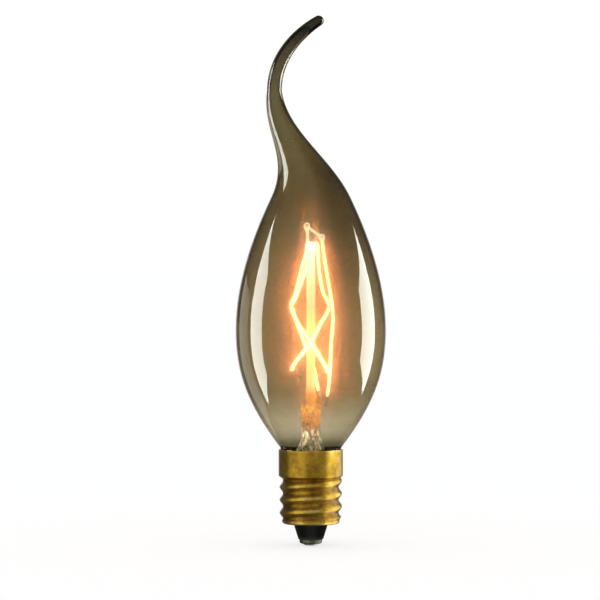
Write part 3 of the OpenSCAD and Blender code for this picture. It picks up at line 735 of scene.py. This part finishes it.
def screw_shell():
    """Thin closed wall of the rolled shell.

    It runs out under the turned-in foot, up the outside, over the top edge, down the inside
    SHELL_WALL closer to the axis, and back along the foot. worn is the brightness of the brass: it
    grows with the thread's height and at the wall's two ends, and falls in the folds at the
    thread's two ends, each as a bell.
    """
    a = around(SHELL_SIDES)[None, :]
    turn = np.radians(np.linspace(0, 90, ROUND_ROWS))[:, None]
    up = np.linspace(CAP_Z + RIM_ROUND, CAP_TOP_Z - COLLAR_ROUND, OUTSIDE_ROWS)[1:-1, None]
    down = np.linspace(CAP_TOP_Z - INSIDE_DROP, CAP_Z + SHELL_WALL + FOOT_RISE, INSIDE_ROWS)[:, None]
    foot = np.linspace(FOOT_HOLE_R, RIM_R - RIM_ROUND, FOOT_ROWS)[:-1, None]
    back = np.linspace(RIM_R - RIM_ROUND, FOOT_HOLE_R, FOOT_ROWS)[:, None]
    into_edge = COLLAR_ROUND * (1 - np.cos(turn))
    below_edge = COLLAR_ROUND * (1 - np.sin(turn))
    rows = [
        (foot + 0 * a, CAP_Z + 0 * foot),
        (RIM_R - RIM_ROUND * (1 - np.sin(turn)) + 0 * a, CAP_Z + RIM_ROUND * (1 - np.cos(turn))),
        (shell_radius(a, up), up),
        (COLLAR_R - into_edge + 0 * a, CAP_TOP_Z - below_edge),
        (COLLAR_R - SHELL_WALL + 0 * a, np.array([[CAP_TOP_Z - EDGE_DROP]])),
        (shell_radius(a, down) - SHELL_WALL, down),
        (back + 0 * a, CAP_Z + SHELL_WALL + 0 * back),
    ]
    radius = np.vstack([r for r, z in rows])
    z = np.vstack([z for r, z in rows])
    rings = np.stack([radius * np.cos(a), radius * np.sin(a), z + 0 * a], -1)
    root = THREAD_R - THREAD_DEPTH
    on_thread = smooth_step(*WORN_START_Z, z) * (1 - smooth_step(*WORN_END_Z, z))
    crest = np.clip((radius - root) / THREAD_DEPTH, 0, 1)
    top_edge, foot_edge, collar_fold, rim_fold = (
        bell(z - middle, reach) for middle, reach in (TOP_EDGE, FOOT_EDGE, COLLAR_FOLD, RIM_FOLD))
    edge = top_edge + 0.7 * foot_edge
    fold = collar_fold + rim_fold
    plain = PLAIN_WEAR + EDGE_WEAR * edge - FOLD_WEAR * fold
    thread = GROOVE_WEAR + CREST_WEAR * crest ** 1.2
    worn = np.clip(plain + on_thread * (thread - plain), 0, 1)
    return skin("brass_screw_shell", rings, True, {"worn": worn})


# Glass stem

def lumpy_stem():
    """The stem's own shape with the pinched head crumpled and the flare below it folded.

    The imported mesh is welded, laid out again in cells of STEM_GRAIN and smoothed. Then each point p
    moves along its normal: on the head by HEAD_LUMPS times the mean of 1 - 2 |sin(w . p)| over the
    waves w, and on the flare by FLARE_FOLDS times sin(FOLD_COUNT a + FOLD_SWAY sin(SWAY_RATE z)),
    with a its angle. The head's top corners slump by up to SLUMP. ridge is 1 on the crests and
    falls in the creases.
    """
    piece = bpy.data.objects.new("lumpy_stem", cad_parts["stem_flare"].data.copy())
    bpy.context.scene.collection.objects.link(piece)
    weld = piece.modifiers.new("weld", "WELD")
    weld.merge_threshold = WELD_GAP * MM
    remesh = piece.modifiers.new("remesh", "REMESH")
    remesh.mode = "VOXEL"
    remesh.voxel_size = STEM_GRAIN * MM
    smooth = piece.modifiers.new("smooth", "SMOOTH")
    smooth.iterations = STEM_SMOOTHING
    mesh = bpy.data.meshes.new_from_object(piece.evaluated_get(bpy.context.evaluated_depsgraph_get()))
    piece.modifiers.clear()
    piece.data = mesh
    points, normals = np.zeros((2, len(mesh.vertices), 3), np.float32)
    mesh.vertices.foreach_get("co", points.reshape(-1))
    mesh.vertex_normals.foreach_get("vector", normals.reshape(-1))
    points = points / MM
    x, y, z = points.T
    head = smooth_step(*HEAD_Z, z)
    flare = smooth_step(*FLARE_START_Z, z) * (1 - smooth_step(*FLARE_END_Z, z))
    crumple = np.mean(1 - 2 * np.abs(np.sin(points @ LUMP_WAVES.T)), axis=1)
    folds = np.sin(FOLD_COUNT * np.arctan2(y, x) + FOLD_SWAY * np.sin(SWAY_RATE * z))
    points = points + (HEAD_LUMPS * head * crumple + FLARE_FOLDS * flare * folds)[:, None] * normals
    points[:, 2] -= SLUMP * smooth_step(*SLUMP_X, np.abs(x)) * smooth_step(*SLUMP_Z, z)
    mesh.vertices.foreach_set("co", (points * MM).astype(np.float32).reshape(-1))
    creased = head * (1 - smooth_step(-0.5, 0.15, crumple))
    folded = 0.6 * flare * (1 - smooth_step(-0.6, 0.4, folds))
    ridge = (1 - creased - folded).astype(np.float32)
    mesh.attributes.new("ridge", "FLOAT", "POINT").data.foreach_set("value", ridge)
    mesh.update()
    mesh.shade_smooth()
    mesh.materials.clear()
    return piece


# Filament cage

def from_press(x, y, height):
    """Place at this height above the top of the glass press."""
    return np.array([x, y, PRESS_Z + height])


def from_rod_top(x, y, height):
    """Place at this height above the top of the rod."""
    return np.array([x, y, ROD_TOP_Z + height])


EYE_LEFT = from_rod_top(-0.85, 0, 3.4)
EYE_RIGHT = from_rod_top(2.4, 0, 0.9)
EYE_TOP = from_rod_top(0.85, BUTTON_R + 0.5, 0)
EYE_MID_1 = from_press(4.8, -2.2, 19.8)
EYE_MID_2 = from_press(4.1, 1.8, 21.2)
EYE_MID_3 = from_press(-4.4, -2.1, 21.2)
EYE_MID_4 = from_press(-4.1, 2.5, 20.9)
EYE_CENTRE = from_press(0, ROD_R + 0.95, 12.9)
EYE_LOW_LEFT = from_press(-4.1, 0, 7.4)
EYE_LOW_RIGHT = from_press(3.7, 0, 6.9)
EYES = (EYE_LEFT, EYE_RIGHT, EYE_TOP, EYE_MID_1, EYE_MID_2, EYE_MID_3, EYE_MID_4, EYE_CENTRE,
        EYE_LOW_LEFT, EYE_LOW_RIGHT)

CLAMP_FRONT = from_press(3.5, -1.2, 0.8)
CLAMP_BACK = from_press(1.9, 1.2, 1.8)
AFTER_FRONT = from_press(4.1, -1.8, 6.1)
BEFORE_BACK = from_press(0.7, 2.2, 7.6)
WAY_FRONT = unit(AFTER_FRONT - CLAMP_FRONT)
WAY_BACK = unit(BEFORE_BACK - CLAMP_BACK)
CLEAR_OF_CLAMP = CLAMP_LEN / 2 + 0.6
BELOW_CLAMP = CLAMP_LEN / 2 + 0.4
FRONT_Y = -(ROD_R + FILAMENT_R + ROD_GAP)


def steps_from(eye, *steps):
    """Places at these steps from an eye."""
    return [eye + np.array(step) for step in steps]


FILAMENT_ROUTE = [
    CLAMP_FRONT, CLAMP_FRONT + CLEAR_OF_CLAMP * WAY_FRONT, AFTER_FRONT, from_press(4.4, -2.2, 12.6),
    EYE_MID_1, from_press(3.4, -1.6, 29.1),
    *steps_from(EYE_RIGHT, (0.1, -1, -1.1), (0, -0.4, -0.1), (-0.05, 0.4, 0.05), (-0.6, 1, 0.5)),
    *steps_from(EYE_LEFT, (0.6, 1, -0.6), (0.05, 0.4, -0.05), (0, -0.4, -0.1), (0.1, -1, -1.1)),
    from_press(-0.75, -1.75, 34.2), from_press(-1.95, -1.9, 29.7), from_press(-3.5, -2.1, 23.6),
    EYE_MID_3, from_press(-2.6, -1.9, 17.2), from_press(0, FRONT_Y, 13.2), from_press(1.85, -0.9, 10.1),
    *steps_from(EYE_LOW_RIGHT, (-0.2, -1, 0.9), (0, -0.4, 0.1), (0, 0.4, 0.1), (-0.3, 1, 0.9)),
    *steps_from(EYE_CENTRE, (1, 0, -0.9), (0.45, 0, -0.12), (-0.45, 0, -0.12), (-1, 0, -0.9)),
    *steps_from(EYE_LOW_LEFT, (0.3, 1, 0.9), (0, 0.4, 0.1), (0, -0.4, 0.1), (0.2, -1, 0.9)),
    from_press(0, FRONT_Y - 2 * FILAMENT_R - CROSSING_GAP, 13.3), from_press(2.05, -0.3, 17.2),
    EYE_MID_2, from_press(2.8, 1.8, 23.9), from_press(1.85, 1.7, 29.1),
    *steps_from(EYE_TOP, (0.66, 0, -0.7), (0.45, 0, -0.16), (-0.45, 0, -0.16), (-0.66, 0, -0.7)),
    from_press(-1.4, 1.8, 28.4), from_press(-3.3, 2.3, 23.2), EYE_MID_4,
    from_press(-1.1, 2.9, 12.3), BEFORE_BACK, CLAMP_BACK + CLEAR_OF_CLAMP * WAY_BACK, CLAMP_BACK]


def filament():
    """One coil wound along the whole route.

    Its warmth is 1 between its holds. Each hold takes off its chill times the bell of the distance
    to it, and TOP_CHILL goes where the coil stands above the rod's top.
    """
    path, along = even_steps(smooth_route(FILAMENT_ROUTE, CAGE_SPAN), PATH_STEP)
    rings, at = coil_rings(path, along, FILAMENT_R - COIL_WIRE_R, COIL_WIRE_R, COIL_PITCH,
                           COIL_STEPS, COIL_SIDES)
    middle = np.stack([np.interp(at, along, path[:, axis]) for axis in range(3)], -1)
    warmth = np.ones(len(at))
    for holds, chill, reach in ((EYES, EYE_CHILL, EYE_REACH),
                                ((CLAMP_FRONT, CLAMP_BACK), CLAMP_CHILL, CLAMP_REACH)):
        for hold in holds:
            warmth -= chill * bell(np.linalg.norm(middle - hold, axis=1), reach)
    warmth -= TOP_CHILL * smooth_step(*TOP_CHILL_Z, middle[:, 2])
    return skin("glowing_coil", rings, False, {"warmth": np.clip(warmth, 0, 1)[:, None]})


def side_support(eye, rise, through, radius=ROD_R):
    """Foot on the rod's side facing the eye, way out of the rod, eye and way through the eye.

    The foot stands at rise above the eye.
    """
    out = unit(np.array([eye[0], eye[1], 0]))
    return np.array([radius * out[0], radius * out[1], eye[2] + rise]), out, eye, through


ACROSS, BACK, UP = np.eye(3)
SUPPORTS = {
    "upper_support_left": (from_rod_top(-0.45, 0, 0), UP, EYE_LEFT, BACK),
    "upper_support_right": (from_rod_top(0.45, 0, 0), UP, EYE_RIGHT, BACK),
    "top_hook": side_support(EYE_TOP, -1.2, ACROSS, BUTTON_R),
    "middle_support_1": side_support(EYE_MID_1, 1.4, UP),
    "middle_support_2": side_support(EYE_MID_2, -0.9, UP),
    "middle_support_3": side_support(EYE_MID_3, 0.7, UP),
    "middle_support_4": side_support(EYE_MID_4, -1, UP),
    "centre_hook": side_support(EYE_CENTRE, 0.9, ACROSS),
    "lower_support_left": side_support(EYE_LOW_LEFT, -1.9, BACK),
    "lower_support_right": side_support(EYE_LOW_RIGHT, -1.9, BACK),
}


def support_wire(name, foot, out, eye, through, painted_glow):
    """Wire from inside the rod over an elbow to its eye, and round the eye.

    The turn is eye + R (cos a across - sin a inward), for a from 0 to CURL_TURN, and rises by
    CURL_RISE along the way through. The curl carries a painted glow of the given strength, standing in
    for the filament's light on it.
    """
    elbow = foot + ELBOW * out
    inward = elbow - eye
    inward = unit(inward - (inward @ through) * through)
    across = np.cross(through, inward)
    part = np.linspace(0, 1, CURL_STEPS)[:, None]
    a = CURL_TURN * part
    turn = np.cos(a) * across - np.sin(a) * inward
    curl = eye + (FILAMENT_R + EYE_GAP + SUPPORT_R) * turn + CURL_RISE * (part - 0.5) * through
    arm = np.array([foot - SOCKET_DEPTH * out, elbow - ELBOW_BEND * out,
                    elbow + ELBOW_BEND * unit(curl[0] - elbow)])
    warmth = painted_glow * np.concatenate([np.zeros(len(arm)), np.ones(len(curl))])
    rings = tube_rings(np.vstack([arm, curl]), SUPPORT_R, SUPPORT_SIDES)
    return skin(name + "_wire", rings, False, {"warmth": warmth[:, None]})


def inner_lead(name, route):
    """Nickel wire along its route from the press into its clamp."""
    path = even_steps(smooth_route(route, LEAD_SPAN), PATH_STEP)[0]
    return skin(name + "_wire", tube_rings(path, LEAD_R, LEAD_SIDES))


LEADS = {
    "inner_lead_front": [
        from_press(LEAD_X, 0, 0), from_press(LEAD_X + 0.05, -0.1, 0.4), from_press(2.3, -0.65, 0.1),
        CLAMP_FRONT - BELOW_CLAMP * WAY_FRONT, CLAMP_FRONT - CLAMP_LEN / 2 * WAY_FRONT, CLAMP_FRONT],
    "inner_lead_back": [
        from_press(-LEAD_X, 0, 0), from_press(-LEAD_X, 0.25, 0.5), from_press(-0.9, 1.25, 0.7),
        from_press(0.5, 1.75, 0.5), CLAMP_BACK - BELOW_CLAMP * WAY_BACK,
        CLAMP_BACK - CLAMP_LEN / 2 * WAY_BACK, CLAMP_BACK],
}


# Build and dress

def dress(piece, material, slot, *nodes):
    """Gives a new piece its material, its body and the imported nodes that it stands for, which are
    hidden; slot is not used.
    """
    piece.data.materials.append(material)
    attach(piece, "root")
    if nodes:
        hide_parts(*nodes)


def finish_node(node, material):
    """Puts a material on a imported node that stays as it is."""
    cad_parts[node].material_slots[0].material = material


support_metal = support_wire_metal()
nickel = dull_metal("lead_nickel", (0.4, 0.38, 0.34), (0.62, 0.6, 0.55), 0.32).material
solder = dull_metal("soft_solder", (0.36, 0.36, 0.33), (0.58, 0.58, 0.54), 0.42).material
# the centre contact is made dark greenish grey all over
contact_metal = dull_metal("dark_greenish_contact", (0.08, 0.09, 0.06), (0.2, 0.2, 0.14), 0.4).material
seal_metal = dull_metal("copper_seal_wire", (0.4, 0.13, 0.05), (0.62, 0.25, 0.1), 0.4).material
tinned = dull_metal("tinned_lead_wire", (0.5, 0.42, 0.33), (0.7, 0.62, 0.52), 0.35).material

bulb = glass_bulb()
shell = screw_shell()
dress(bulb, smoky_glass(), "smoky_glass", "glass_envelope")
dress(shell, aged_brass(), "aged_brass", "screw_shell")
dress(lumpy_stem(), stem_glass(), "clear_glass", "stem_flare")
dress(filament(), glowing_filament(), "glowing_filament", "filament")
for node, parts in SUPPORTS.items():
    # painted glow: the upper wires' curls glow fully, the others faintly
    painted_glow = UPPER_WIRE_PAINTED_GLOW if node.startswith("upper") else OTHER_WIRE_PAINTED_GLOW
    dress(support_wire(node, *parts, painted_glow), support_metal, "support_wire", node)
for node, route in LEADS.items():
    dress(inner_lead(node, route), nickel, "nickel", node)
for nodes, material in (
        (("shell_insulator",), black_glass()),
        (("centre_contact",), contact_metal),
        (("contact_solder", "shell_solder"), solder),
        (("capping_cement",), cement()),
        (("exhaust_tube",), tube_glass()),
        (("arbor_rod",), lit_glass()),
        (("lead_clamp_front", "lead_clamp_back"), nickel),
        (("seal_wire_left", "seal_wire_right"), seal_metal),
        (("outer_lead_contact", "outer_lead_shell"), tinned)):
    for node in nodes:
        finish_node(node, material)


# Studio

def pale_floor():
    """White floor that keeps the shadow: part of it is its own light, and the rest what falls on it."""
    bpy.ops.mesh.primitive_circle_add(vertices=FLOOR_SIDES, radius=FLOOR_RADIUS * MM,
                                      fill_type="NGON", location=(0, 0, -FLOOR_GAP * MM))
    floor = bpy.context.object
    floor.name = "floor"
    finish = Finish("floor", Base_Color=(0.98, 1.0, 1.0, 1), Roughness=1.0, Specular_IOR_Level=0.0)
    path = finish.add("ShaderNodeLightPath").outputs
    seen = finish.maths("MAXIMUM", path["Is Camera Ray"], path["Is Transmission Ray"])
    own = finish.add("ShaderNodeEmission", Color=WHITE, Strength=1.0).outputs["Emission"]
    mixed = finish.add("ShaderNodeMixShader", _0=finish.maths("MULTIPLY", seen, FLOOR_OWN_LIGHT),
                       _1=finish.shader.outputs["BSDF"], _2=own)
    finish.links.new(mixed.outputs["Shader"], finish.output.inputs["Surface"])
    floor.data.materials.append(finish.material)
    floor.visible_glossy = False
    floor.visible_shadow = False


def studio_world():
    """Even white light; reflections see a white backdrop behind, dark sides and a dim front."""
    world = bpy.data.worlds.new("studio")
    bpy.context.scene.world = world
    world.use_nodes = True
    nodes, links = world.node_tree.nodes, world.node_tree.links
    nodes.clear()
    output = nodes.new("ShaderNodeOutputWorld")
    path = nodes.new("ShaderNodeLightPath")
    place = nodes.new("ShaderNodeTexCoord")
    parts = nodes.new("ShaderNodeSeparateXYZ")
    links.new(place.outputs["Generated"], parts.inputs[0])
    room = nodes.new("ShaderNodeMath")
    backdrop = {"From Min": 0.9, "From Max": 0.99, "To Min": 0.08, "To Max": 1.0}
    front = {"From Min": -0.25, "From Max": -0.9, "To Min": 0.0, "To Max": 0.3}
    for number, values in enumerate((backdrop, front)):
        level = nodes.new("ShaderNodeMapRange")
        level.interpolation_type = "SMOOTHSTEP"
        for label, value in values.items():
            level.inputs[label].default_value = value
        links.new(parts.outputs["Y"], level.inputs["Value"])
        links.new(level.outputs["Result"], room.inputs[number])
    plain = nodes.new("ShaderNodeBackground")
    plain.inputs["Color"].default_value = WHITE
    reflected = nodes.new("ShaderNodeBackground")
    reflected.inputs["Color"].default_value = WHITE
    links.new(room.outputs[0], reflected.inputs["Strength"])
    mixed = nodes.new("ShaderNodeMixShader")
    links.new(path.outputs["Is Glossy Ray"], mixed.inputs[0])
    links.new(plain.outputs[0], mixed.inputs[1])
    links.new(reflected.outputs[0], mixed.inputs[2])
    links.new(mixed.outputs[0], output.inputs["Surface"])


def softbox(name, azimuths, facing, elevations, brightness, lit):
    """Upright softbox that lights only the pieces in lit.

    Seen from the bulb it spans two azimuths, in degrees from the camera towards +X, in a plane
    whose normal has the azimuth facing. At the first azimuth it stands at SOFTBOX_DISTANCE, and
    there it spans two elevations. Power = brightness * area * pi.
    """
    first, last = np.radians(azimuths)
    facing = np.radians(facing)
    reach = SOFTBOX_DISTANCE * MM
    plane = reach * np.cos(first - facing)
    ends = [plane / np.cos(a - facing) * np.array([np.sin(a), -np.cos(a)]) for a in (first, last)]
    middle = (ends[0] + ends[1]) / 2
    low, high = reach * np.tan(np.radians(elevations))
    lamp = bpy.data.lights.new(name, "AREA")
    lamp.shape = "RECTANGLE"
    lamp.size = np.linalg.norm(ends[0] - ends[1])
    lamp.size_y = high - low
    lamp.energy = brightness * lamp.size * lamp.size_y * np.pi
    lamp.color = SOFTBOX_COLOUR
    holder = bpy.data.objects.new(name, lamp)
    bpy.context.scene.collection.objects.link(holder)
    holder.location = (*middle, SOFTBOX_HEIGHT * MM + (low + high) / 2)
    holder.rotation_euler = (np.radians(90), 0, facing)
    holder.visible_diffuse = False
    holder.visible_transmission = False
    holder.light_linking.receiver_collection = lit


def camera():
    """View of the front from a little above level, with the photograph's framing.

    Its distance is lens * field / sensor.
    """
    distance = LENS * FIELD / SENSOR
    data = bpy.data.cameras.new("camera")
    data.lens = LENS
    data.sensor_width = SENSOR
    data.clip_start = NEAR_CLIP * MM
    holder = bpy.data.objects.new("camera", data)
    bpy.context.scene.collection.objects.link(holder)
    holder.location = (AIM_X * MM, -distance * np.cos(TILT) * MM, (AIM_Z + distance * np.sin(TILT)) * MM)
    holder.rotation_euler = (np.radians(90) - TILT, 0, 0)
    bpy.context.scene.camera = holder


def lit_group(name, *pieces):
    """Collection of the pieces that a softbox lights."""
    group = bpy.data.collections.new(name)
    for piece in pieces:
        group.objects.link(piece)
    return group


pale_floor()
studio_world()

# Each softbox has its azimuths, facing, elevations and brightness, and the pieces that it lights
glass_pieces = lit_group("glass_pieces", bulb)
cap_pieces = lit_group("cap_pieces", shell, *(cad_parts[node] for node in (
    "centre_contact", "contact_solder", "shell_solder")))
softbox("glass_light_left", (-104, -80), -141, (-38, 31.5), 11, glass_pieces)
softbox("glass_light_right", (113.5, 84), 148, (-29, 26), 12.5, glass_pieces)
softbox("glass_light_far_left", (-140, -112), -127, (-34, 9), 1.0, glass_pieces)
softbox("cap_light_left", (-84, -24), -54, (-52, 52), 0.62, cap_pieces)
softbox("cap_light_right", (138, 62), 100, (-52, 52), 1.6, cap_pieces)
camera()
bpy.context.scene.view_settings.view_transform = "Standard"
